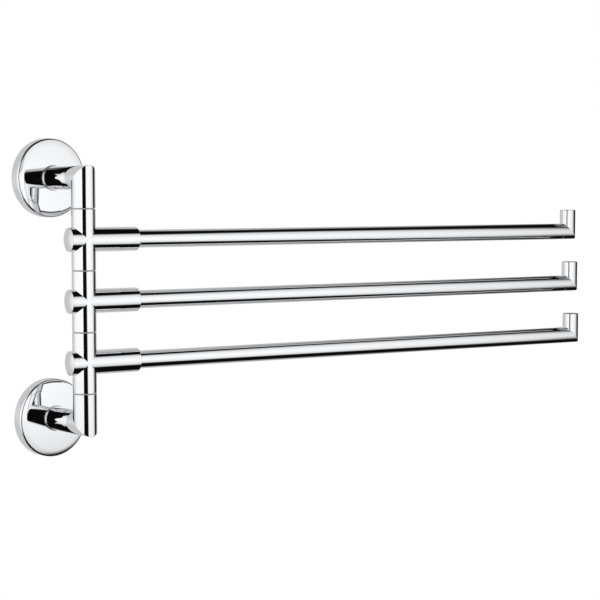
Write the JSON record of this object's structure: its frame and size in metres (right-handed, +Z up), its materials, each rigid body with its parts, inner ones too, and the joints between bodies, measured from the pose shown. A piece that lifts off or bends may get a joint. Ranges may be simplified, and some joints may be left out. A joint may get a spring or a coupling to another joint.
{
  "type": "swing arm towel bar",
  "caption": "Wall-mounted towel bar: level bars with upturned ends swing on an upright post held between round wall flanges.",
  "frame": {"origin": "middle of the four wall screw holes, on the wall plane", "axes": "+Y into the wall, +Z up along the post, +X to the right along the wall, the way the bars point at rest"},
  "size_m": [0.4399, 0.1254, 0.2154],
  "materials": {
    "polished_chrome": "bright chrome plate on brass",
    "zinc_plated_steel": "zinc plated, hidden behind the covers",
    "stainless_steel": "plain",
    "acetal": "natural white",
    "nylon": "grey, satin"
  },
  "bodies": {
    "wall_frame": {"upper_wall_plate": "zinc_plated_steel", "upper_flange_cover": "polished_chrome", "upper_rim_grub_screw": "stainless_steel", "upper_post_screw": "stainless_steel", "upper_lock_washer": "stainless_steel", "upper_elbow": "polished_chrome", "upper_spindle_grub_screw": "stainless_steel", "upper_disc_spring": "stainless_steel", "lower_wall_plate": "zinc_plated_steel", "lower_flange_cover": "polished_chrome", "lower_rim_grub_screw": "stainless_steel", "lower_post_screw": "stainless_steel", "lower_lock_washer": "stainless_steel", "lower_elbow": "polished_chrome", "lower_spindle_grub_screw": "stainless_steel", "lower_disc_spring": "stainless_steel", "spindle": "stainless_steel", "thrust_washer_1": "nylon", "thrust_washer_2": "nylon", "thrust_washer_3": "nylon", "thrust_washer_4": "nylon"},
    "upper_arm": {"upper_arm_hub": "polished_chrome", "upper_rear_cap": "polished_chrome", "upper_arm_upper_bush": "acetal", "upper_arm_lower_bush": "acetal", "upper_bar": "polished_chrome", "upper_end_hook": "polished_chrome"},
    "middle_arm": {"middle_arm_hub": "polished_chrome", "middle_rear_cap": "polished_chrome", "middle_arm_upper_bush": "acetal", "middle_arm_lower_bush": "acetal", "middle_bar": "polished_chrome", "middle_end_hook": "polished_chrome"},
    "lower_arm": {"lower_arm_hub": "polished_chrome", "lower_rear_cap": "polished_chrome", "lower_arm_upper_bush": "acetal", "lower_arm_lower_bush": "acetal", "lower_bar": "polished_chrome", "lower_end_hook": "polished_chrome"}
  },
  "joints": [
    {"name": "upper_arm_swing", "type": "hinge", "parent": "wall_frame", "child": "upper_arm", "pos_m": [0, -0.0455, 0.0406], "axis": [0, 0, 1], "range_deg": [-170.35, 9.65]},
    {"name": "middle_arm_swing", "type": "hinge", "parent": "wall_frame", "child": "middle_arm", "pos_m": [0, -0.0455, 0], "axis": [0, 0, 1], "range_deg": [-169.95, 10.05]},
    {"name": "lower_arm_swing", "type": "hinge", "parent": "wall_frame", "child": "lower_arm", "pos_m": [0, -0.0455, -0.0406], "axis": [0, 0, 1], "range_deg": [-169.7, 10.3]}
  ]
}
